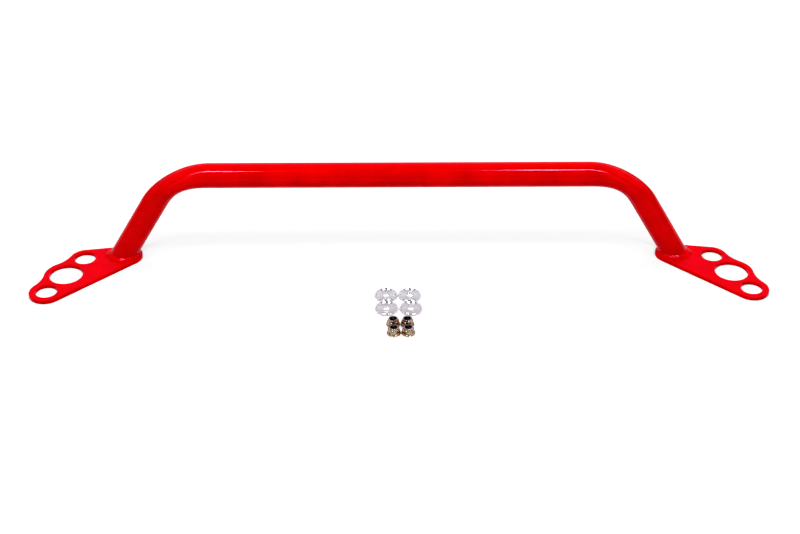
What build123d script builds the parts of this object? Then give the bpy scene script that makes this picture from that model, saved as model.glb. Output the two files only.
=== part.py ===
from build123d import *

import math
import os

# Strut tower brace: a bent steel tube welded to two end plates, with four centring washers and four nuts.
#
# The brace ties the left and right strut towers of a car together. Each plate drops over the top of one strut
# and over two of its studs. The washers centre those studs in the plate's oversize holes, and the flange nuts
# clamp them. The washers and nuts lie loose in front of the brace, the way they come out of the bag.
#
# Frame: +X to the brace's right, +Y to its rear, +Z up, in millimetres. Plates, washers and nuts stand on
# z = 0. The origin is the middle of the kit, left to right and front to back.

# Tube: 1 1/4 in outside diameter with an 0.095 in wall, bent on a 3 1/2 in centre-line radius.
TUBE_RADIUS = 15.875
TUBE_WALL = 2.41
BEND_RADIUS = 88.9
BEND_FLATTENING = 0.175  # part of its width that the tube loses in the bend's plane, halfway round the bend
BEND_WIDENING = 0.08  # part that it gains across the bend's plane there
BEND_SHIFT = 1.2  # how far the flattened section moves outwards there
BEND_STEPS = 12  # sections that shape each bend
BAR_HEIGHT = 123.6  # centre line of the level run
FOOT_HALF_SPAN = 362.6  # centre line of a leg where it meets the plate's top face
LEG_LEAN = 31.1  # degrees from vertical, inwards going up
LEG_SPARE = 40.0  # leg length below the plate's top face, trimmed off flush with it

# End plates, 3/16 in thick. A place on a plate is (x, y) from the middle of the brace and the tube's plane.
PLATE_THICKNESS = 4.76
TOWER_CENTRE = (429.0, -45.8)
TOWER_HOLE_RADIUS = 21.3
STUD_PITCH = 83.6  # between the two stud holes, with the tower hole midway
STUD_LINE_ANGLE = 64.7  # degrees from X to the line through the three holes
STUD_HOLE_RADIUS = 13.7
FOOT_LOBE_CENTRE = (358.0, 0.2)
FOOT_LOBE_RADIUS = 20.2
TOWER_LOBE_RADIUS = 28.4
INNER_LOBE_RADIUS = 20.1
OUTER_LOBE_RADIUS = 21.9
WAIST_RADIUS = 40.0  # hollow between neighbouring lobes on the outboard edge

# Fillet weld round each leg, narrower at the rear, where the plate's edge is close.
WELD_LEG = 4.8
WELD_REAR_LEG = 3.4
WELD_HEIGHT = 5.0
WELD_LIP = 0.25  # how far the weld's top edge stands off the tube

# Centring washer for an M8 stud: a flange that bears on the plate and a boss that fills the stud hole.
WASHER_RADIUS = 14.25
WASHER_FLANGE = 1.8
WASHER_BOSS_RADIUS = 13.5
WASHER_BOSS = 1.2
WASHER_BORE_RADIUS = 4.25
WASHER_CHAMFER = 0.4
RECESS_RADIUS = 11.6  # shallow recess turned into the flange for the nut
RECESS_DEPTH = 0.8
RECESS_SLOPE = 0.8  # how far the recess's wall leans out

# M8 flange lock nut, all metal.
NUT_HEIGHT = 9.4
NUT_ACROSS_FLATS = 13.0
NUT_FLANGE_RADIUS = 8.6
NUT_FLANGE_EDGE = 1.2
NUT_FLANGE_SLOPE = 27.0  # degrees
NUT_HEX_TOP = 7.2
NUT_CHAMFER_SLOPE = 30.0  # degrees, on the hexagon's top corners
NUT_CROWN_RADIUS = 6.1
NUT_CROWN_TOP_RADIUS = 5.75
NUT_THREAD_RADIUS = 3.32  # minor radius of an M8 x 1.25 thread
NUT_MOUTH_RADIUS = 4.5

# Where the fasteners lie: (x, y) from the middle of the brace and the tube's plane, and each nut's turn in
# degrees.
WASHER_PLACES = {
    "front_left": (-17.4, -120.2),
    "front_right": (13.0, -120.4),
    "rear_left": (-18.0, -91.4),
    "rear_right": (11.8, -91.6),
}
NUT_PLACES = {
    "front_left": (-8.8, -169.8, 53.0),
    "front_right": (8.8, -169.5, 11.0),
    "rear_left": (-9.4, -152.1, 6.0),
    "rear_right": (8.0, -152.0, 9.0),
}

# The tube's plane in the part's frame, midway between the plates' rear edge and the front nuts' edge.
REAR_REACH = FOOT_LOBE_CENTRE[1] + FOOT_LOBE_RADIUS
FRONT_REACH = NUT_PLACES["front_left"][1] - NUT_FLANGE_RADIUS
TUBE_PLANE_Y = -(REAR_REACH + FRONT_REACH) / 2

LEAN = math.radians(LEG_LEAN)


def polar(centre, radius, angle):
    return (centre[0] + radius * math.cos(angle), centre[1] + radius * math.sin(angle))


def bearing(start, end):
    return math.atan2(end[1] - start[1], end[0] - start[0])


def stud_places():
    """Centres of the right-hand plate's inner and outer stud holes."""
    angle = math.radians(STUD_LINE_ANGLE)
    inner = polar(TOWER_CENTRE, STUD_PITCH / 2, math.pi - angle)
    outer = polar(TOWER_CENTRE, STUD_PITCH / 2, -angle)
    return inner, outer


def straight(start, end, radius):
    """Round rod between two (x, z) points in the tube's plane."""
    along = (end[0] - start[0], 0, end[1] - start[1])
    section = Plane(origin=(start[0], TUBE_PLANE_Y, start[1]), z_dir=along)
    return extrude(section * Circle(radius), math.dist(start, end))


def bend(centre, radius):
    """The right-hand bend, solid, from the level run to the leg. Its section flattens towards its middle."""
    sections = []
    for step in range(BEND_STEPS + 1):
        angle = math.pi / 2 - step / BEND_STEPS * (math.pi / 2 - LEAN)  # of the section, from X
        share = math.sin(math.pi * step / BEND_STEPS) ** 2
        x, z = polar(centre, BEND_RADIUS + BEND_SHIFT * share, angle)
        section = Plane(
            origin=(x, TUBE_PLANE_Y, z), x_dir=(0, 1, 0), z_dir=(math.sin(angle), 0, -math.cos(angle))
        )
        wide = radius + BEND_WIDENING * share * TUBE_RADIUS
        narrow = radius - BEND_FLATTENING * share * TUBE_RADIUS
        sections.append(section * Ellipse(wide, narrow))
    return loft(sections)


def tube_core(radius):
    """Solid that follows the tube's centre line, its legs running on below the plates' top faces."""
    corner_x = FOOT_HALF_SPAN - (BAR_HEIGHT - PLATE_THICKNESS) * math.tan(LEAN)
    setback = BEND_RADIUS * math.tan((math.pi / 2 - LEAN) / 2)  # from the corner to where the bend starts
    bend_centre = (corner_x - setback, BAR_HEIGHT - BEND_RADIUS)
    run_end = (bend_centre[0], BAR_HEIGHT)
    leg_top = polar(bend_centre, BEND_RADIUS, LEAN)
    leg_end = (FOOT_HALF_SPAN + LEG_SPARE * math.tan(LEAN), PLATE_THICKNESS - LEG_SPARE)
    run = straight((0, BAR_HEIGHT), run_end, radius)
    leg = straight(leg_top, leg_end, radius)
    half = run + bend(bend_centre, radius) + leg
    return half + mirror(half, about=Plane.YZ)


def bent_tube():
    """One hollow tube: a level run between two leaning legs, whose ends are cut flush with the plates."""
    above_plates = Pos(0, TUBE_PLANE_Y, PLATE_THICKNESS + BAR_HEIGHT) * Box(
        3 * FOOT_HALF_SPAN, 6 * TUBE_RADIUS, 2 * BAR_HEIGHT
    )
    return (tube_core(TUBE_RADIUS) - tube_core(TUBE_RADIUS - TUBE_WALL)) & above_plates


def tangent_edge(first, second, side):
    """Ends of the straight edge touching two lobes, on their left (1) or right (-1) going first to second."""
    (first_centre, first_radius), (second_centre, second_radius) = first, second
    spread = math.acos((first_radius - second_radius) / math.dist(first_centre, second_centre))
    angle = bearing(first_centre, second_centre) + side * spread
    return polar(first_centre, first_radius, angle), polar(second_centre, second_radius, angle)


def waist_centre(first, second):
    """Centre of the hollow arc that touches two lobes from outside, on the left going first to second."""
    (first_centre, first_radius), (second_centre, second_radius) = first, second
    gap = math.dist(first_centre, second_centre)
    near, far = first_radius + WAIST_RADIUS, second_radius + WAIST_RADIUS
    turn = math.acos((near**2 + gap**2 - far**2) / (2 * near * gap))
    return polar(first_centre, near, bearing(first_centre, second_centre) + turn)


def waist_touch(lobe, waist):
    """Point where a lobe meets the waist arc with the given centre."""
    centre, radius = lobe
    return polar(centre, radius, bearing(centre, waist))


def short_arc(centre, start, end):
    """Arc from start to end round a centre, by the shorter way."""
    middle = ((start[0] + end[0]) / 2, (start[1] + end[1]) / 2)
    return ThreePointArc(start, polar(centre, math.dist(centre, start), bearing(centre, middle)), end)


def plate_outline():
    """The right-hand plate's outline: four lobes joined by two straight edges and two hollow arcs."""
    inner_stud, outer_stud = stud_places()
    foot = (FOOT_LOBE_CENTRE, FOOT_LOBE_RADIUS)
    inner = (inner_stud, INNER_LOBE_RADIUS)
    tower = (TOWER_CENTRE, TOWER_LOBE_RADIUS)
    outer = (outer_stud, OUTER_LOBE_RADIUS)
    rear_start, rear_end = tangent_edge(foot, inner, 1)
    front_end, front_start = tangent_edge(foot, outer, -1)
    rear_waist, side_waist = waist_centre(inner, tower), waist_centre(tower, outer)
    edges = [
        Line(rear_start, rear_end),
        short_arc(inner_stud, rear_end, waist_touch(inner, rear_waist)),
        short_arc(rear_waist, waist_touch(inner, rear_waist), waist_touch(tower, rear_waist)),
        short_arc(TOWER_CENTRE, waist_touch(tower, rear_waist), waist_touch(tower, side_waist)),
        short_arc(side_waist, waist_touch(tower, side_waist), waist_touch(outer, side_waist)),
        short_arc(outer_stud, waist_touch(outer, side_waist), front_start),
        Line(front_start, front_end),
        short_arc(FOOT_LOBE_CENTRE, front_end, rear_start),
    ]
    return make_face(edges)


def end_plate():
    """Right-hand plate with its tower hole and two stud holes."""
    holes = [Pos(*place) * Circle(STUD_HOLE_RADIUS) for place in stud_places()]
    holes.append(Pos(*TOWER_CENTRE) * Circle(TOWER_HOLE_RADIUS))
    return Pos(0, TUBE_PLANE_Y, 0) * extrude(plate_outline() - holes, PLATE_THICKNESS, dir=(0, 0, 1))


def weld_bead():
    """Weld round the right-hand leg: a skirt from the plate's top face up to the tube, less the tube."""
    half_length = TUBE_RADIUS / math.cos(LEAN)  # of the oval where the leaning leg meets the plate
    toe = Ellipse(half_length + WELD_LEG, TUBE_RADIUS + (WELD_LEG + WELD_REAR_LEG) / 2)
    toe_y = TUBE_PLANE_Y - (WELD_LEG - WELD_REAR_LEG) / 2
    rim = Ellipse(half_length + WELD_LIP, TUBE_RADIUS + WELD_LIP)
    rim_x = FOOT_HALF_SPAN - WELD_HEIGHT * math.tan(LEAN)
    skirt = loft(
        [
            Pos(FOOT_HALF_SPAN, toe_y, PLATE_THICKNESS) * toe,
            Pos(rim_x, TUBE_PLANE_Y, PLATE_THICKNESS + WELD_HEIGHT) * rim,
        ],
        ruled=True,
    )
    leg = Cylinder(TUBE_RADIUS, 2 * LEG_SPARE)
    return skirt - Pos(FOOT_HALF_SPAN, TUBE_PLANE_Y, PLATE_THICKNESS) * Rot(0, -LEG_LEAN, 0) * leg


def turned(*profile):
    """Solid of revolution about Z from (radius, height) points."""
    return revolve(make_face(Polyline([(radius, 0, z) for radius, z in profile], close=True)), axis=Axis.Z)


def washer():
    """Washer standing on its boss."""
    top = WASHER_BOSS + WASHER_FLANGE
    recess_floor = top - RECESS_DEPTH
    return turned(
        (WASHER_BORE_RADIUS, 0),
        (WASHER_BOSS_RADIUS - WASHER_CHAMFER, 0),
        (WASHER_BOSS_RADIUS, WASHER_CHAMFER),
        (WASHER_BOSS_RADIUS, WASHER_BOSS),
        (WASHER_RADIUS, WASHER_BOSS),
        (WASHER_RADIUS, top - WASHER_CHAMFER),
        (WASHER_RADIUS - WASHER_CHAMFER, top),
        (RECESS_RADIUS + RECESS_SLOPE, top),
        (RECESS_RADIUS, recess_floor),
        (WASHER_BORE_RADIUS, recess_floor),
    )


def nut_hexagon():
    """Hexagon with its top corners turned off."""
    face = NUT_ACROSS_FLATS / 2
    corner = face / math.cos(math.pi / 6)
    shoulder = NUT_HEX_TOP - (corner - face) * math.tan(math.radians(NUT_CHAMFER_SLOPE))
    envelope = turned((0, 0), (corner, 0), (corner, shoulder), (face, NUT_HEX_TOP), (0, NUT_HEX_TOP))
    return extrude(RegularPolygon(corner, 6), NUT_HEX_TOP, dir=(0, 0, 1)) & envelope


def nut():
    """Nut standing on its flange, with a plain bore in place of the thread."""
    neck = NUT_ACROSS_FLATS / 2
    neck_z = NUT_FLANGE_EDGE + (NUT_FLANGE_RADIUS - neck) * math.tan(math.radians(NUT_FLANGE_SLOPE))
    rim = (NUT_FLANGE_RADIUS, NUT_FLANGE_EDGE)
    flange = turned((0, 0), (NUT_FLANGE_RADIUS, 0), rim, (neck, neck_z), (0, neck_z))
    crown = turned(
        (0, 0),
        (NUT_CROWN_RADIUS, 0),
        (NUT_CROWN_RADIUS, NUT_HEX_TOP),
        (NUT_CROWN_TOP_RADIUS, NUT_HEIGHT),
        (0, NUT_HEIGHT),
    )
    mouth = NUT_MOUTH_RADIUS - NUT_THREAD_RADIUS
    bore = turned(
        (0, 0),
        (NUT_MOUTH_RADIUS, 0),
        (NUT_THREAD_RADIUS, mouth),
        (NUT_THREAD_RADIUS, NUT_HEIGHT - mouth),
        (NUT_MOUTH_RADIUS, NUT_HEIGHT),
        (0, NUT_HEIGHT),
    )
    return nut_hexagon() + flange + crown - bore


plate, weld = end_plate(), weld_bead()
parts = {
    "brace_tube": bent_tube(),
    "right_end_plate": plate,
    "left_end_plate": mirror(plate, about=Plane.YZ),
    "right_weld_bead": weld,
    "left_weld_bead": mirror(weld, about=Plane.YZ),
}
for name, (x, y) in WASHER_PLACES.items():
    parts[f"{name}_washer"] = Pos(x, TUBE_PLANE_Y + y, 0) * washer()
for name, (x, y, turn) in NUT_PLACES.items():
    parts[f"{name}_nut"] = Pos(x, TUBE_PLANE_Y + y, 0) * Rot(0, 0, turn) * nut()

os.makedirs("parts", exist_ok=True)
for name, shape in parts.items():
    export_step(shape, f"parts/{name}.step")
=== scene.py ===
import math

import bmesh
import bpy
import numpy as np
from mathutils import Matrix, Vector
from mathutils.geometry import tessellate_polygon


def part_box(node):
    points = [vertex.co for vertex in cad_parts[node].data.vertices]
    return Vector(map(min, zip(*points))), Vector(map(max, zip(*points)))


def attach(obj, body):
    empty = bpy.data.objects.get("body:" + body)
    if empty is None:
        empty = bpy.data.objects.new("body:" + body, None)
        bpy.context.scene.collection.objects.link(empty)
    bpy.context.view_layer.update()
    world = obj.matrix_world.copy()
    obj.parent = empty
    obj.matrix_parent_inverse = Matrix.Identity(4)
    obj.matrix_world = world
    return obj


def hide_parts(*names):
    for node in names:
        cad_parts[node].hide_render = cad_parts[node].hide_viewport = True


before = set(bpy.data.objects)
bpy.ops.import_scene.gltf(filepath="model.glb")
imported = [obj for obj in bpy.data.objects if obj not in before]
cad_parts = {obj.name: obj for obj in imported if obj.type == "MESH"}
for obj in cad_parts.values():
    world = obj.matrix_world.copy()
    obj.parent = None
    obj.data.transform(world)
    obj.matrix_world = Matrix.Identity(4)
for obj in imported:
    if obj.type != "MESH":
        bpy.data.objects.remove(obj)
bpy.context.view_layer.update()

# Strut tower brace: a red powder-coated tube welded to two end plates, with four turned washers and four
# yellow-zinc flange nuts lying in front of it. Lengths are in metres and places come from the CAD frame.

# Tube.
TUBE_RADIUS = 0.015875
TUBE_WALL = 0.00241
BEND_RADIUS = 0.0889
BEND_FLATTENING = 0.175
BEND_WIDENING = 0.08
BEND_SHIFT = 0.0012
LEG_LEAN = math.radians(31.1)
TUBE_SIDES = 128
RUN_STEPS = 48
BEND_STEPS = 56
LEG_STEPS = 14

# End plates, as offsets from the foot of the leg for the right-hand plate.
TOWER_CENTRE = (0.0664, -0.0458)
TOWER_HOLE_RADIUS = 0.0213
STUD_PITCH = 0.0836
STUD_LINE_ANGLE = math.radians(64.7)
STUD_HOLE_RADIUS = 0.0137
FOOT_LOBE_CENTRE = (-0.0046, 0.0002)
FOOT_LOBE_RADIUS = 0.0202
TOWER_LOBE_RADIUS = 0.0284
INNER_LOBE_RADIUS = 0.0201
OUTER_LOBE_RADIUS = 0.0219
WAIST_RADIUS = 0.040
PLATE_EDGE = 0.00055  # radius that the coating leaves on the plate's edges
EDGE_STEPS = 4
ARC_STEP = math.radians(2.5)

# Weld.
WELD_LEG = 0.0046
WELD_REAR_LEG = 0.0033
WELD_HEIGHT = 0.0050
WELD_LIP = 0.00022
WELD_BULGE = 0.0005
WELD_RIPPLE = 0.00032
WELD_RIPPLES = 30
WELD_BOW = 0.55  # how far a ripple's middle runs ahead of its ends, in ripples
WELD_START = {-1: -0.30, 1: -0.18}  # where the ripples begin on each side, in ripples
WELD_SWAY = 0.06  # slow change of the bead's width round the leg, as a share
WELD_UNEVENNESS = 0.05  # quicker change of its width, and of its height
WELD_SIDES = WELD_RIPPLES * 18
WELD_ROWS = 14

# Washer.
WASHER_RADIUS = 0.01425
WASHER_FLANGE = 0.0018
WASHER_BOSS_RADIUS = 0.0135
WASHER_BOSS = 0.0012
WASHER_BORE_RADIUS = 0.00425
RECESS_RADIUS = 0.0116
RECESS_DEPTH = 0.0008
RECESS_SLOPE = 0.0008
WASHER_RIM_CHAMFER = 0.00035
WASHER_EDGE = 0.00025
WASHER_SIDES = 192

# Nut.
NUT_HEIGHT = 0.0094
NUT_FACE = 0.0065
NUT_CORNER_ROUND = 0.00045
NUT_EDGE = 0.00028
NUT_FLANGE_RADIUS = 0.0086
NUT_FLANGE_EDGE = 0.0012
NUT_FLANGE_SLOPE = math.tan(math.radians(27.0))
NUT_HEX_TOP = 0.0072
NUT_TOP_INSET = 0.00012  # how far the hexagon's flat top stays inside its faces
NUT_CHAMFER_SLOPE = math.tan(math.radians(30.0))
NUT_CROWN_RADIUS = 0.0061
NUT_CROWN_TOP_RADIUS = 0.00575
NUT_THREAD_RADIUS = 0.00332
NUT_THREAD_ROOT = 0.00402
NUT_THREAD_PITCH = 0.00125
NUT_MOUTH_RADIUS = 0.0045
NUT_SECTOR_STEPS = 20
NUT_THREAD_ROWS = 96
NUT_TURNS = {"front_left": 53.0, "front_right": 11.0, "rear_left": 6.0, "rear_right": 9.0}  # degrees

CORNERS = ("front_left", "front_right", "rear_left", "rear_right")


# ---------------------------------------------------------------- meshes

def piece(name, points, faces, material, body, node, slot, origin=Vector((0, 0, 0)), sharp=40.0):
    """One finished object built from points and faces. It stands for a CAD node and rides on its body."""
    mesh = bpy.data.meshes.new(name)
    mesh.from_pydata([tuple(p) for p in points], [], [tuple(f) for f in faces])
    shaped = bmesh.new()
    shaped.from_mesh(mesh)
    bmesh.ops.recalc_face_normals(shaped, faces=shaped.faces)
    shaped.to_mesh(mesh)
    shaped.free()
    mesh.polygons.foreach_set("use_smooth", [True] * len(mesh.polygons))
    mesh.set_sharp_from_angle(angle=math.radians(sharp))
    mesh.materials.append(material)
    made = bpy.data.objects.new(name, mesh)
    made.location = origin
    bpy.context.scene.collection.objects.link(made)
    weighted = made.modifiers.new("flat_faces", "WEIGHTED_NORMAL")
    weighted.keep_sharp = True
    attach(made, body)
    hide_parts(node)
    return made


def ring_mesh(rows):
    """Points and faces of a surface that closes on itself both along and across its rows."""
    rows = np.asarray(rows)
    count, width = rows.shape[:2]
    faces = []
    for i in range(count):
        near, far = i * width, (i + 1) % count * width
        for j in range(width):
            k = (j + 1) % width
            faces.append((near + j, near + k, far + k, far + j))
    return rows.reshape(-1, 3), faces


def rounded(profile, radius, steps=3):
    """The closed profile with each marked corner rounded. A profile point is (r, z, share of the radius)."""
    points = []
    count = len(profile)
    for i, (r, z, share) in enumerate(profile):
        here = np.array((r, z))
        if not share:
            points.append(here)
            continue
        before = np.array(profile[i - 1][:2]) - here
        after = np.array(profile[(i + 1) % count][:2]) - here
        reach = min(radius * share, 0.45 * np.linalg.norm(before), 0.45 * np.linalg.norm(after))
        start = here + before / np.linalg.norm(before) * reach
        end = here + after / np.linalg.norm(after) * reach
        for step in range(steps + 1):
            t = step / steps
            points.append((1 - t) ** 2 * start + 2 * t * (1 - t) * here + t**2 * end)
    return points


def foot_place():
    """Where the right-hand leg's axis meets the top of its plate."""
    low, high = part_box("brace_tube")
    return high.x - TUBE_RADIUS / math.cos(LEG_LEAN), (low.y + high.y) / 2, low.z


def tube_mesh():
    """The bent tube, hollow, its legs cut flush with the top of the plates."""
    bar_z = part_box("brace_tube")[1].z - TUBE_RADIUS
    foot_x, plane_y, plate_z = foot_place()
    corner_x = foot_x - (bar_z - plate_z) * math.tan(LEG_LEAN)
    bend_x = corner_x - BEND_RADIUS * math.tan((math.pi / 2 - LEG_LEAN) / 2)
    bend_z = bar_z - BEND_RADIUS
    around = np.linspace(0, 2 * math.pi, TUBE_SIDES, endpoint=False)
    down = np.array((math.sin(LEG_LEAN), 0, -math.cos(LEG_LEAN)))

    def section(x, z, tilt, wide, narrow):
        out = np.array((math.cos(tilt), 0, math.sin(tilt)))
        side = np.array((0, 1, 0))
        centre = np.array((x, plane_y, z))
        return centre + np.outer(np.cos(around) * wide, side) + np.outer(np.sin(around) * narrow, out)

    def right_half(radius):
        rows = []
        for step in range(RUN_STEPS):
            rows.append(section(bend_x * step / RUN_STEPS, bar_z, math.pi / 2, radius, radius))
        for step in range(BEND_STEPS + 1):
            tilt = math.pi / 2 - step / BEND_STEPS * (math.pi / 2 - LEG_LEAN)
            share = math.sin(math.pi * step / BEND_STEPS) ** 2
            reach = BEND_RADIUS + BEND_SHIFT * share
            wide = radius + BEND_WIDENING * share * TUBE_RADIUS
            narrow = radius - BEND_FLATTENING * share * TUBE_RADIUS
            rows.append(
                section(bend_x + reach * math.cos(tilt), bend_z + reach * math.sin(tilt), tilt, wide, narrow)
            )
        top = rows[-1]
        run_out = (top[:, 2] - plate_z) / -down[2]
        for step in range(1, LEG_STEPS + 1):
            rows.append(top + np.outer(run_out * step / LEG_STEPS, down))
        return rows

    def whole(radius):
        right = right_half(radius)
        left = [row * (-1, 1, 1) for row in right[:0:-1]]
        return left + right

    outer, inner = whole(TUBE_RADIUS), whole(TUBE_RADIUS - TUBE_WALL)
    return ring_mesh(outer + inner[::-1])


def polar(centre, radius, angle):
    return (centre[0] + radius * math.cos(angle), centre[1] + radius * math.sin(angle))


def bearing(start, end):
    return math.atan2(end[1] - start[1], end[0] - start[0])


def arc(centre, radius, start, end, turn, bulges):
    """Points and outward normals along an arc that turns left (1) or right (-1). A hollow doesn't bulge."""
    sweep = (turn * (end - start)) % (2 * math.pi)
    steps = max(2, round(sweep / ARC_STEP))
    made = []
    for step in range(steps + 1):
        angle = start + turn * sweep * step / steps
        sign = 1 if bulges else -1
        made.append((polar(centre, radius, angle), (sign * math.cos(angle), sign * math.sin(angle))))
    return made


def tangent_angle(first, second, side):
    (first_centre, first_radius), (second_centre, second_radius) = first, second
    spread = math.acos((first_radius - second_radius) / math.dist(first_centre, second_centre))
    return bearing(first_centre, second_centre) + side * spread


def waist_centre(first, second):
    (first_centre, first_radius), (second_centre, second_radius) = first, second
    gap = math.dist(first_centre, second_centre)
    near, far = first_radius + WAIST_RADIUS, second_radius + WAIST_RADIUS
    turn = math.acos((near**2 + gap**2 - far**2) / (2 * near * gap))
    return polar(first_centre, near, bearing(first_centre, second_centre) + turn)


def stud_places():
    inner = polar(TOWER_CENTRE, STUD_PITCH / 2, math.pi - STUD_LINE_ANGLE)
    outer = polar(TOWER_CENTRE, STUD_PITCH / 2, -STUD_LINE_ANGLE)
    return inner, outer


def plate_outline():
    """The right-hand plate's outline, clockwise: foot, inner stud, tower and outer stud lobes."""
    inner_stud, outer_stud = stud_places()
    foot = (FOOT_LOBE_CENTRE, FOOT_LOBE_RADIUS)
    inner = (inner_stud, INNER_LOBE_RADIUS)
    tower = (TOWER_CENTRE, TOWER_LOBE_RADIUS)
    outer = (outer_stud, OUTER_LOBE_RADIUS)
    rear = tangent_angle(foot, inner, 1)
    front = tangent_angle(foot, outer, -1)
    waists = waist_centre(inner, tower), waist_centre(tower, outer)
    outline = arc(*foot, front, rear, -1, True)
    outline += arc(*inner, rear, bearing(inner_stud, waists[0]), -1, True)
    outline += arc(
        waists[0], WAIST_RADIUS, bearing(waists[0], inner_stud), bearing(waists[0], TOWER_CENTRE), 1, False
    )[1:-1]
    outline += arc(*tower, bearing(TOWER_CENTRE, waists[0]), bearing(TOWER_CENTRE, waists[1]), -1, True)
    outline += arc(
        waists[1], WAIST_RADIUS, bearing(waists[1], TOWER_CENTRE), bearing(waists[1], outer_stud), 1, False
    )[1:-1]
    outline += arc(*outer, bearing(outer_stud, waists[1]), front, -1, True)
    return outline


def plate_holes():
    inner_stud, outer_stud = stud_places()
    holes = [(inner_stud, STUD_HOLE_RADIUS), (outer_stud, STUD_HOLE_RADIUS)]
    holes.append((TOWER_CENTRE, TOWER_HOLE_RADIUS))
    return [arc(centre, radius, 0, 2 * math.pi - ARC_STEP, 1, False) for centre, radius in holes]


def plate_mesh(node, side):
    """A plate with softly rounded edges and holes. side is 1 for the right-hand plate, -1 for the left."""
    low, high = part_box(node)
    thickness = high.z - low.z
    foot_x, plane_y, _ = foot_place()
    levels = []
    for step in range(EDGE_STEPS + 1):
        turn = math.pi / 2 * step / EDGE_STEPS
        levels.append((PLATE_EDGE * (1 - math.sin(turn)), PLATE_EDGE * (1 - math.cos(turn))))
    levels += [(inset, thickness - height) for inset, height in reversed(levels)]
    points, faces, caps = [], [], ([], [])
    for loop in [plate_outline()] + plate_holes():
        count = len(loop)
        start = len(points)
        for inset, height in levels:
            for (x, y), (nx, ny) in loop:
                spot = (foot_x + x - inset * nx, plane_y + y - inset * ny, low.z + height)
                points.append((side * spot[0], spot[1], spot[2]))
        for level in range(len(levels) - 1):
            near, far = start + level * count, start + (level + 1) * count
            for j in range(count):
                k = (j + 1) % count
                faces.append((near + j, near + k, far + k, far + j))
        caps[0].append(range(start, start + count))
        caps[1].append(range(start + (len(levels) - 1) * count, start + len(levels) * count))
    for cap in caps:
        index = [i for loop in cap for i in loop]
        corners = tessellate_polygon([[Vector(points[i]) for i in loop] for loop in cap])
        faces += [tuple(index[i] for i in corner) for corner in corners]
    return points, faces


def weld_mesh(side):
    """A rippled fillet weld round one leg: overlapping crescents laid one after another."""
    foot = foot_place()
    rows = []
    for step in range(WELD_SIDES):
        angle = 2 * math.pi * step / WELD_SIDES
        leg = (WELD_LEG + WELD_REAR_LEG) / 2 - (WELD_LEG - WELD_REAR_LEG) / 2 * math.sin(angle)
        wander = 1 + WELD_SWAY * math.sin(3 * angle + 0.7) + WELD_UNEVENNESS * math.sin(7 * angle + 2.1)
        height = WELD_HEIGHT * (1 + WELD_UNEVENNESS * math.sin(5 * angle + 1.3 * side))
        row = []
        for k in range(WELD_ROWS + 1):
            across = k / WELD_ROWS
            arch = math.sin(math.pi * across)
            phase = (WELD_RIPPLES * angle / (2 * math.pi) + WELD_BOW * arch + WELD_START[side]) % 1
            crest = math.sin(math.pi * phase**0.7)
            swell = arch * (WELD_BULGE + WELD_RIPPLE * (crest - 0.5) * wander)
            off = (leg - WELD_LIP) * (1 - across) * wander ** (1 - across) + WELD_LIP + 0.75 * swell
            rise = height * across + 0.65 * swell * (1 - across)
            row.append(weld_point(foot, off, rise, angle))
        row.append(weld_point(foot, 0, height, angle))
        row.append(weld_point(foot, 0, 0, angle))
        rows.append(row)
    return ring_mesh(np.array(rows) * (side, 1, 1))


def weld_point(foot, off, rise, angle):
    """Point round the leaning right-hand leg, off its surface and up from the plate."""
    foot_x, plane_y, plate_z = foot
    x = foot_x - rise * math.tan(LEG_LEAN) + (TUBE_RADIUS / math.cos(LEG_LEAN) + off) * math.cos(angle)
    y = plane_y + (TUBE_RADIUS + off) * math.sin(angle)
    return x, y, plate_z + rise


def washer_mesh():
    """A turned washer, standing on its boss: flange, shallow recess and a broken edge at the bore."""
    top = WASHER_BOSS + WASHER_FLANGE
    floor = top - RECESS_DEPTH
    profile = [
        (WASHER_BORE_RADIUS, 0, 1),
        (WASHER_BOSS_RADIUS, 0, 1.6),
        (WASHER_BOSS_RADIUS, WASHER_BOSS, 0.5),
        (WASHER_RADIUS, WASHER_BOSS, 0.6),
        (WASHER_RADIUS, top - WASHER_RIM_CHAMFER, 0.5),
        (WASHER_RADIUS - WASHER_RIM_CHAMFER, top, 0.5),
        (RECESS_RADIUS + RECESS_SLOPE, top, 0.4),
        (RECESS_RADIUS, floor, 0.5),
        (WASHER_BORE_RADIUS + WASHER_EDGE, floor, 0.3),
        (WASHER_BORE_RADIUS, floor - WASHER_EDGE, 0.3),
    ]
    outline = rounded(profile, WASHER_EDGE)
    rows = []
    for step in range(WASHER_SIDES):
        angle = 2 * math.pi * step / WASHER_SIDES
        rows.append([(r * math.cos(angle), r * math.sin(angle), z) for r, z in outline])
    return ring_mesh(rows)


def hexagon_reach(angle):
    """Distance from the nut's axis to its hexagon in a direction, with softly rounded corners."""
    sector = math.pi / 3
    from_corner = (angle + sector / 2) % sector - sector / 2
    corner = (NUT_FACE - NUT_CORNER_ROUND) / math.cos(sector / 2)
    touch = math.atan2(NUT_CORNER_ROUND * 0.5, corner + NUT_CORNER_ROUND * math.cos(sector / 2))
    if abs(from_corner) < touch:
        aside = corner * math.sin(from_corner)
        return corner * math.cos(from_corner) + math.sqrt(NUT_CORNER_ROUND**2 - aside**2)
    return NUT_FACE / math.cos(sector / 2 - abs(from_corner))


def thread_reach(angle, z):
    """Radius of the nut's bore: a helical thread that runs out into a chamfered mouth at each end."""
    turn = (z / NUT_THREAD_PITCH - angle / (2 * math.pi)) % 1
    ramp = abs(2 * turn - 1)
    depth = min(1.0, max(0.0, (ramp - 0.14) / 0.72))
    thread = NUT_THREAD_RADIUS + (NUT_THREAD_ROOT - NUT_THREAD_RADIUS) * depth
    mouth = NUT_MOUTH_RADIUS - min(z, NUT_HEIGHT - z)
    return max(thread, mouth)


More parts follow.
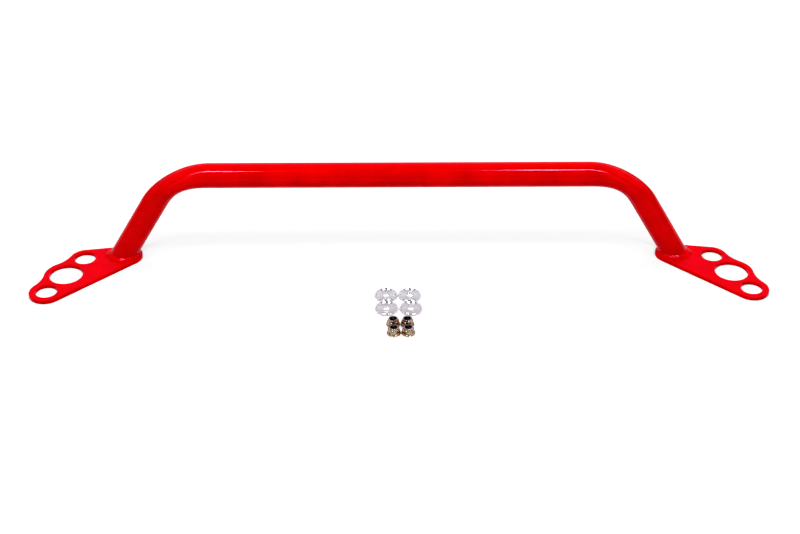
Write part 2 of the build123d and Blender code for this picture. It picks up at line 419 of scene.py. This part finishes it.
def nut_mesh(turn):
    """A flange nut: conical flange, chamfered hexagon, raised crown and a real internal thread."""
    angles = []
    for sector in range(6):
        for step in range(NUT_SECTOR_STEPS):
            t = 2 * step / NUT_SECTOR_STEPS - 1
            angles.append(math.pi / 3 * (sector + 0.5 * math.copysign(abs(t) ** 1.7, t)))
    rows = []
    for angle in angles:
        hexagon = hexagon_reach(angle)
        foot = NUT_FLANGE_EDGE + (NUT_FLANGE_RADIUS - hexagon) * NUT_FLANGE_SLOPE
        shoulder = NUT_HEX_TOP - (hexagon - NUT_FACE + NUT_TOP_INSET) * NUT_CHAMFER_SLOPE
        profile = [
            (NUT_MOUTH_RADIUS, 0, 0),
            (NUT_FLANGE_RADIUS, 0, 1.2),
            (NUT_FLANGE_RADIUS, NUT_FLANGE_EDGE, 1.6),
            (hexagon, foot, 0.8),
            (hexagon, shoulder, 0.5),
            (NUT_FACE - NUT_TOP_INSET, NUT_HEX_TOP, 0.5),
            (NUT_CROWN_RADIUS, NUT_HEX_TOP, 0.5),
            (NUT_CROWN_TOP_RADIUS, NUT_HEIGHT, 1.8),
            (NUT_MOUTH_RADIUS, NUT_HEIGHT, 0),
        ]
        outline = rounded(profile, NUT_EDGE)
        for k in range(1, NUT_THREAD_ROWS):
            z = NUT_HEIGHT * (1 - k / NUT_THREAD_ROWS)
            outline.append((thread_reach(angle, z), z))
        swung = angle + math.radians(turn)
        rows.append([(r * math.cos(swung), r * math.sin(swung), z) for r, z in outline])
    return ring_mesh(rows)


# ---------------------------------------------------------------- materials

class Nodes:
    """A node tree with short calls for the nodes used here."""

    def __init__(self, tree):
        self.tree = tree
        self.coordinates = tree.nodes.new("ShaderNodeTexCoord").outputs

    def node(self, kind, inputs=None, **settings):
        made = self.tree.nodes.new(kind)
        for key, value in settings.items():
            setattr(made, key, value)
        for key, value in (inputs or {}).items():
            self.feed(made.inputs[key], value)
        return made

    def feed(self, socket, value):
        if isinstance(value, bpy.types.NodeSocket):
            self.tree.links.new(value, socket)
        else:
            socket.default_value = value

    def math(self, operation, first, second=0.0):
        return self.node("ShaderNodeMath", {0: first, 1: second}, operation=operation).outputs[0]

    def spread(self, value, low, high, new_low, new_high):
        inputs = {"Value": value, 1: low, 2: high, 3: new_low, 4: new_high}
        return self.node("ShaderNodeMapRange", inputs, interpolation_type="SMOOTHSTEP").outputs["Result"]

    def between(self, share, first, second):
        return self.node("ShaderNodeMix", {0: share, 2: first, 3: second}).outputs[0]

    def blend(self, share, first, second):
        return self.node("ShaderNodeMix", {0: share, 6: first, 7: second}, data_type="RGBA").outputs[2]

    def parts(self, vector):
        return self.node("ShaderNodeSeparateXYZ", {0: vector}).outputs

    def rays(self):
        return self.node("ShaderNodeLightPath").outputs


class Shader(Nodes):
    """A material with a Principled surface."""

    def __init__(self, name):
        self.material = bpy.data.materials.new(name)
        self.material.use_nodes = True
        super().__init__(self.material.node_tree)
        self.surface = self.tree.nodes["Principled BSDF"]
        self.place = self.coordinates["Object"]

    def noise(self, scale, detail=2.0, vector=None, roughness=0.5):
        inputs = {"Vector": vector or self.place, "Scale": scale, "Detail": detail, "Roughness": roughness}
        return self.node("ShaderNodeTexNoise", inputs).outputs["Fac"]

    def ramp(self, value, stops):
        made = self.node("ShaderNodeValToRGB", {"Fac": value})
        band = made.color_ramp
        while len(band.elements) < len(stops):
            band.elements.new(0.5)
        for element, (place, colour) in zip(band.elements, stops):
            element.position = place
            element.color = (*colour, 1)
        return made.outputs["Color"]

    def stretch(self, along_z):
        """Coordinates in which grain runs up and down."""
        return self.node("ShaderNodeMapping", {"Vector": self.place, "Scale": (1.0, 1.0, along_z)}).outputs[0]

    def from_axis(self):
        """Distance from the piece's own vertical axis."""
        x, y, _ = self.parts(self.place)
        flat = self.node("ShaderNodeCombineXYZ", {0: x, 1: y}).outputs[0]
        return self.node("ShaderNodeVectorMath", {0: flat}, operation="LENGTH").outputs["Value"]

    def bump(self, height, depth, below=None):
        inputs = {"Height": height, "Distance": depth, "Strength": 1.0}
        if below is not None:
            inputs["Normal"] = below
        return self.node("ShaderNodeBump", inputs).outputs["Normal"]

    def finish(self, **inputs):
        for key, value in inputs.items():
            self.feed(self.surface.inputs[key.replace("_", " ")], value)
        return self.material


COAT_BOUNCE = (0.42, 0.42, 0.42, 1)  # neutral, so the white floor beside the coat stays neutral
COAT_MIRRORED = (0.55, 0.50, 0.53, 1)  # keeps the bare metal nearly neutral
COAT_SHEEN = (1.0, 0.58, 0.95, 1)
COAT_PEEL = 0.000012
WELD_PEEL = 0.000020


def powder_coat(name, peel, cut_edges):
    """Glossy red powder coat: orange peel, faint cloudiness, and the odd dust nib under the film."""
    s = Shader(name)
    cloud = s.noise(38.0, 3.0)
    reds = [(0.3, (0.70, 0.0006, 0.0014)), (0.55, (0.78, 0.0010, 0.0022)), (0.75, (0.84, 0.0016, 0.0035))]
    colour = s.ramp(cloud, reds)
    speck = s.node("ShaderNodeTexVoronoi", {"Vector": s.place, "Scale": 95.0, "Randomness": 1.0})
    nib = s.spread(speck.outputs["Distance"], 0.03, 0.07, 1.0, 0.0)
    chance = s.node("ShaderNodeSeparateColor", {0: speck.outputs["Color"]}).outputs[0]
    rare = s.spread(chance, 0.9, 0.92, 0, 1)
    nib = s.math("MULTIPLY", nib, rare)
    colour = s.blend(s.math("MULTIPLY", nib, 0.35), colour, (0.35, 0.0005, 0.001, 1))
    rays = s.rays()
    colour = s.blend(rays["Is Diffuse Ray"], colour, COAT_BOUNCE)
    colour = s.blend(s.math("MULTIPLY", rays["Is Glossy Ray"], 0.85), colour, COAT_MIRRORED)
    normal = s.bump(s.noise(420.0, 1.0), peel)
    normal = s.bump(s.noise(130.0, 1.0), peel * 1.6, normal)
    normal = s.bump(nib, 0.00005, normal)
    if cut_edges:
        facing = s.parts(s.coordinates["Normal"])["Z"]
        wall = s.spread(s.math("ABSOLUTE", facing), 0.35, 0.6, 1.0, 0.0)
        drag = s.math("MULTIPLY", s.noise(1500.0, 1.0, s.stretch(0.06)), wall)
        normal = s.bump(drag, 0.00012, normal)
    rough = s.spread(s.noise(900.0, 2.0), 0.3, 0.7, 0.08, 0.14)
    rough = s.math("ADD", rough, s.math("MULTIPLY", cloud, 0.05))
    return s.finish(Base_Color=colour, Roughness=rough, Normal=normal, IOR=1.45, Specular_Tint=COAT_SHEEN)


LATHE_FEED = 0.00022


def turned_aluminium():
    """Bare turned aluminium: fine lathe rings, a swept sheen across them, and light handling marks."""
    s = Shader("turned_aluminium")
    reach = s.from_axis()
    drift = s.math("MULTIPLY", s.noise(160.0, 2.0), 0.00006)
    groove = s.math("SINE", s.math("MULTIPLY", s.math("ADD", reach, drift), 2 * math.pi / LATHE_FEED))
    track = s.node("ShaderNodeCombineXYZ", {0: s.math("MULTIPLY", reach, 9000.0)}).outputs[0]
    rings = s.noise(1.0, 4.0, track, 0.7)
    tint = s.ramp(rings, [(0.3, (0.88, 0.88, 0.90)), (0.55, (0.95, 0.95, 0.96)), (0.75, (0.99, 0.99, 0.99))])
    scuff = s.spread(s.noise(700.0, 5.0), 0.55, 0.72, 0.0, 1.0)
    normal = s.bump(groove, 0.0000012)
    normal = s.bump(rings, 0.000006, normal)
    level = s.spread(s.parts(s.coordinates["Normal"])["Z"], 0.90, 0.99, 0.0, 1.0)
    turned = s.math("ADD", s.spread(rings, 0.3, 0.7, 0.26, 0.34), s.math("MULTIPLY", scuff, 0.12))
    rough = s.between(level, 0.10, turned)
    tangent = s.node("ShaderNodeTangent", None, direction_type="RADIAL", axis="Z").outputs[0]
    return s.finish(
        Base_Color=tint, Metallic=1.0, Roughness=rough, Anisotropic=0.95, Anisotropic_Rotation=0.25,
        Tangent=tangent, Normal=normal,
    )


def yellow_zinc():
    """Yellow-chromate zinc plate: gold, pink and green bloom over brushed steel, bare grey at the crown, and
    shade painted near-black into the threaded bore.
    """
    s = Shader("yellow_zinc")
    view = s.node("ShaderNodeLayerWeight", {"Blend": 0.35}).outputs["Facing"]
    film = s.math("ADD", s.noise(260.0, 3.0, None, 0.6), s.math("MULTIPLY", view, 0.35))
    colour = s.ramp(
        film,
        [
            (0.28, (0.50, 0.47, 0.28)),
            (0.42, (0.68, 0.56, 0.38)),
            (0.54, (0.72, 0.62, 0.50)),
            (0.66, (0.72, 0.54, 0.48)),
            (0.76, (0.69, 0.60, 0.49)),
            (0.88, (0.53, 0.50, 0.35)),
        ],
    )
    stain = s.spread(s.noise(620.0, 4.0), 0.47, 0.60, 0.0, 0.92)
    colour = s.blend(stain, colour, (0.22, 0.13, 0.06, 1))
    crown = s.spread(s.parts(s.place)["Z"], NUT_HEIGHT - 0.0004, NUT_HEIGHT - 0.0001, 0.0, 0.9)
    colour = s.blend(crown, colour, (0.50, 0.49, 0.51, 1))
    # Painted shade: the whole threaded bore is coloured near-black in place of the shade inside it; the same
    # mask also makes the bore rougher.
    bore_painted_shade = s.spread(s.from_axis(), NUT_MOUTH_RADIUS - 0.00015, NUT_MOUTH_RADIUS + 0.0001, 1.0, 0.0)
    colour = s.blend(bore_painted_shade, colour, (0.09, 0.085, 0.08, 1))
    normal = s.bump(s.noise(5200.0, 3.0, s.stretch(0.12)), 0.000006)
    normal = s.bump(s.noise(520.0, 2.0), 0.00003, normal)
    rough = s.spread(s.noise(1300.0, 3.0), 0.3, 0.7, 0.14, 0.26)
    rough = s.math("ADD", rough, s.math("MULTIPLY", bore_painted_shade, 0.2))
    return s.finish(Base_Color=colour, Metallic=1.0, Roughness=rough, Normal=normal)


# ---------------------------------------------------------------- the object

def build_object():
    tube_coat = powder_coat("red_powder_coat", COAT_PEEL, False)
    plate_coat = powder_coat("red_powder_coat_plate", COAT_PEEL, True)
    weld_coat = powder_coat("red_coated_weld", WELD_PEEL, False)
    piece("tube", *tube_mesh(), tube_coat, "brace", "brace_tube", "red_powder_coat")
    for label, side in (("left", -1), ("right", 1)):
        plate = f"{label}_end_plate"
        piece(f"{label}_plate", *plate_mesh(plate, side), plate_coat, "brace", plate, "red_powder_coat")
        weld = f"{label}_weld_bead"
        piece(f"{label}_weld", *weld_mesh(side), weld_coat, "brace", weld, "red_coated_weld", sharp=60.0)
    aluminium, zinc = turned_aluminium(), yellow_zinc()
    for corner in CORNERS:
        washer, nut = f"{corner}_washer", f"{corner}_nut"
        for node, shape, material, slot in (
            (washer, washer_mesh(), aluminium, "turned_aluminium"),
            (nut, nut_mesh(NUT_TURNS[corner]), zinc, "yellow_zinc"),
        ):
            low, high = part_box(node)
            origin = Vector(((low.x + high.x) / 2, (low.y + high.y) / 2, low.z))
            piece(f"{node}_turned", *shape, material, node, node, slot, origin, sharp=50.0)


# ---------------------------------------------------------------- studio

CAMERA_PLACE = Vector((-0.01785, -1.4359, 1.00111))
CAMERA_PITCH = math.radians(33.908)
CAMERA_YAW = math.radians(-0.960)
CAMERA_ROLL = math.radians(0.258)
CAMERA_LENS = 61.95
CAMERA_SHIFT = (-0.00646, 0.0)
FLOOR_SIZE = 12.0
FLOOR_BOUNCE = 0.64
FLOOR_MIRRORED = 0.72
FLOOR_SHOWN = 1.04
FLOOR_DROP = 0.0001  # keeps the floor just under the pieces that stand on it
FLOOR_FADE = (0.48, 2.4)  # distances from the middle between which the camera sees the floor whiten
FLOOR_FAR_SHARE = 3.0  # brightness beyond that, as a share of the middle's
KEY_DISTANCE = 1.75
KEYS = {"key_left": (-0.49, 68.0), "key_right": (0.40, 70.0)}  # place along X, elevation in degrees
KEY_SIZE = (0.26, 0.20)
KEY_POWER = 4.8
OVERHEAD_PLACE = Vector((0, 0, 2.0))
OVERHEAD_SIZE = (2.6, 2.0)
OVERHEAD_POWER = 10.1
FRONT_PLACE = Vector((0, -1.55, 1.45))
FRONT_SIZE = (2.4, 1.2)
FRONT_POWER = 16.4
SWEEP_FROM = (0.02, 0.20)
SWEEP_TOP = (0.86, 0.93)
WALL_FROM = (0.78, 0.90)
WALL_FOOT = (0.10, 0.20)
WALL_BRIGHTNESS = 0.8
PANEL_START = (math.radians(22), math.radians(27))
PANEL_END = (math.radians(48), math.radians(53))
PANEL_BRIGHTNESS = 1.4
SIDE_START = (math.radians(74), math.radians(82))
SIDE_BRIGHTNESS = 0.76
MIRRORED_FOOT = (0.12, 0.18)
MIRRORED_TOP = (0.88, 0.92)
MIRRORED_TINT = (0.98, 0.95, 1.0, 1)
# Long lamps that run on outward from the key lights, as slopes y/z and |x|/z of a mirrored ray.
LAMP_NEAR_EDGE = (-0.46, -0.45)
LAMP_FAR_EDGE = (-0.36, -0.35)
LAMP_START = (0.17, 0.20)
LAMP_END = (0.35, 0.72)
LAMP_BRIGHTNESS = 21.0
# Brightness that is everywhere in the room, the share of it that is lost in mirrors, and the rest.
ROOM_BRIGHTNESS = 0.10
ROOM_LOST = 0.08
STUDIO_BRIGHTNESS = 0.95
BACKDROP_BRIGHTNESS = 1.2
# Contrast of the picture: points (scene brightness, shown brightness) on its curve, where 1 is white.
CONTRAST_DARK = ((0.042, 0.0015), (0.12, 0.05), (0.4, 0.37))
CONTRAST_LIGHT = ((0.515, 0.52), (0.67, 0.75), (0.80, 0.93), (0.96, 1.0))
CONTRAST_END = (1.0, 1.04)


def place_camera():
    level = Vector((-math.sin(CAMERA_YAW), math.cos(CAMERA_YAW), 0))
    right = Vector((math.cos(CAMERA_YAW), math.sin(CAMERA_YAW), 0))
    upright = Vector((0, 0, 1))
    ahead = level * math.cos(CAMERA_PITCH) - upright * math.sin(CAMERA_PITCH)
    up = level * math.sin(CAMERA_PITCH) + upright * math.cos(CAMERA_PITCH)
    rolled_right = right * math.cos(CAMERA_ROLL) + up * math.sin(CAMERA_ROLL)
    rolled_up = up * math.cos(CAMERA_ROLL) - right * math.sin(CAMERA_ROLL)
    camera = bpy.data.objects.new("camera", bpy.data.cameras.new("camera"))
    turn = Matrix((rolled_right, rolled_up, -ahead)).transposed()
    camera.matrix_world = Matrix.Translation(CAMERA_PLACE) @ turn.to_4x4()
    camera.data.lens = CAMERA_LENS
    camera.data.sensor_width = 36.0
    camera.data.sensor_fit = "HORIZONTAL"
    camera.data.shift_x, camera.data.shift_y = CAMERA_SHIFT
    camera.data.clip_end = 50.0
    bpy.context.scene.collection.objects.link(camera)
    bpy.context.scene.camera = camera


def area_light(name, place, target, size, power):
    data = bpy.data.lights.new(name, "AREA")
    data.shape = "RECTANGLE"
    data.size, data.size_y = size
    data.energy = power
    made = bpy.data.objects.new(name, data)
    made.location = place
    made.rotation_euler = (target - place).to_track_quat("-Z", "Y").to_euler()
    made.visible_camera = False
    bpy.context.scene.collection.objects.link(made)
    return made


def build_floor():
    """A plain white floor, seen brighter by the camera than by the object."""
    half = FLOOR_SIZE / 2
    mesh = bpy.data.meshes.new("floor")
    corners = [(-half, -half, 0), (half, -half, 0), (half, half, 0), (-half, half, 0)]
    mesh.from_pydata(corners, [], [(0, 1, 2, 3)])
    s = Shader("floor_paper")
    rays = s.rays()
    grain = s.spread(s.noise(900.0, 3.0), 0.3, 0.7, 0.985, 1.0)
    away = s.node("ShaderNodeVectorMath", {0: s.place}, operation="LENGTH").outputs["Value"]
    shown = s.math("MULTIPLY", s.spread(away, *FLOOR_FADE, 1.0, FLOOR_FAR_SHARE), FLOOR_SHOWN)
    given = s.spread(rays["Is Glossy Ray"], 0.0, 1.0, FLOOR_BOUNCE, FLOOR_MIRRORED)
    shade = s.math("MULTIPLY", grain, s.between(rays["Is Camera Ray"], given, shown))
    colour = s.node("ShaderNodeCombineColor", {0: shade, 1: shade, 2: shade}).outputs[0]
    mesh.materials.append(s.finish(Base_Color=colour, Roughness=1.0, Specular_IOR_Level=0.0))
    floor = bpy.data.objects.new("floor", mesh)
    floor.location.z = -FLOOR_DROP
    bpy.context.scene.collection.objects.link(floor)


def build_world():
    """White to the camera, softly lit from behind and beside, with panels and lamps only in mirrored rays."""
    world = bpy.data.worlds.new("studio")
    world.use_nodes = True
    bpy.context.scene.world = world
    n = Nodes(world.node_tree)
    rays = n.rays()
    x, y, z = n.parts(n.coordinates["Generated"])
    across = n.math("ABSOLUTE", x)
    lit = n.math("MAXIMUM", lit_sweep(n, y, z), lit_walls(n, across, z))
    mirrored = n.math("ADD", mirrored_panels(n, across, y, z), mirrored_lamps(n, across, y, z))
    seen = n.between(rays["Is Glossy Ray"], lit, mirrored)
    room = n.math("SUBTRACT", ROOM_BRIGHTNESS, n.math("MULTIPLY", rays["Is Glossy Ray"], ROOM_LOST))
    strength = n.math("ADD", n.math("MULTIPLY", seen, STUDIO_BRIGHTNESS), room)
    backdrop = n.math("MULTIPLY", rays["Is Camera Ray"], BACKDROP_BRIGHTNESS)
    back = n.tree.nodes["Background"]
    n.feed(back.inputs["Strength"], n.math("ADD", strength, backdrop))
    n.feed(back.inputs["Color"], n.blend(rays["Is Glossy Ray"], (1, 1, 1, 1), MIRRORED_TINT))


def lit_sweep(n, y, z):
    return n.math("MULTIPLY", n.spread(y, *SWEEP_FROM, 0.0, 1.0), n.spread(z, *SWEEP_TOP, 1.0, 0.0))


def lit_walls(n, across, z):
    return n.math(
        "MULTIPLY", n.spread(across, *WALL_FROM, 0.0, 1.0), n.spread(z, *WALL_FOOT, 0.0, WALL_BRIGHTNESS)
    )


def mirrored_panels(n, across, y, z):
    """Bright bearings on both sides, between the floor and the ceiling."""
    bearing_out = n.math("ARCTAN2", across, n.math("MULTIPLY", y, -1.0))
    start, end = n.spread(bearing_out, *PANEL_START, 0.0, 1.0), n.spread(bearing_out, *PANEL_END, 1.0, 0.0)
    panel = n.math("MULTIPLY", n.math("MULTIPLY", start, end), PANEL_BRIGHTNESS)
    side = n.math("MULTIPLY", n.spread(bearing_out, *SIDE_START, 0.0, 1.0), SIDE_BRIGHTNESS)
    height = n.math(
        "MULTIPLY", n.spread(z, *MIRRORED_FOOT, 0.0, 1.0), n.spread(z, *MIRRORED_TOP, 1.0, 0.0)
    )
    return n.math("MULTIPLY", n.math("ADD", panel, side), height)


def mirrored_lamps(n, across, y, z):
    """Two long lamps above the tube. They carry its highlight down into the bends."""
    upward = n.math("MAXIMUM", z, 0.01)
    tilt = n.math("DIVIDE", y, upward)
    run = n.math("DIVIDE", across, upward)
    far, near = n.spread(tilt, *LAMP_FAR_EDGE, 1.0, 0.0), n.spread(tilt, *LAMP_NEAR_EDGE, 0.0, 1.0)
    start, end = n.spread(run, *LAMP_START, 0.0, 1.0), n.spread(run, *LAMP_END, LAMP_BRIGHTNESS, 0.0)
    return n.math("MULTIPLY", n.math("MULTIPLY", far, near), n.math("MULTIPLY", start, end))


def set_contrast():
    settings = bpy.context.scene.view_settings
    settings.view_transform = "Standard"
    settings.use_curve_mapping = True
    settings.curve_mapping.use_clip = False
    curve = settings.curve_mapping.curves[3]
    curve.points[1].location = CONTRAST_END
    for brightness, shown in CONTRAST_DARK + CONTRAST_LIGHT:
        curve.points.new(brightness, shown)
    for point in curve.points:
        point.handle_type = "VECTOR"
    settings.curve_mapping.update()


def build_studio():
    tube_low, tube_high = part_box("brace_tube")
    bar = Vector((0, (tube_low.y + tube_high.y) / 2, tube_high.z - TUBE_RADIUS))
    for name, (aside, elevation) in KEYS.items():
        raised = math.radians(elevation)
        place = bar + KEY_DISTANCE * Vector((0, -math.cos(raised), math.sin(raised)))
        place.x = aside
        area_light(name, place, bar, KEY_SIZE, KEY_POWER)
    for name, place, size, power in (
        ("overhead", OVERHEAD_PLACE, OVERHEAD_SIZE, OVERHEAD_POWER),
        ("front", FRONT_PLACE, FRONT_SIZE, FRONT_POWER),
    ):
        area_light(name, place, Vector((0, 0, 0)), size, power).visible_glossy = False
    build_floor()
    build_world()
    set_contrast()


build_object()
place_camera()
build_studio()
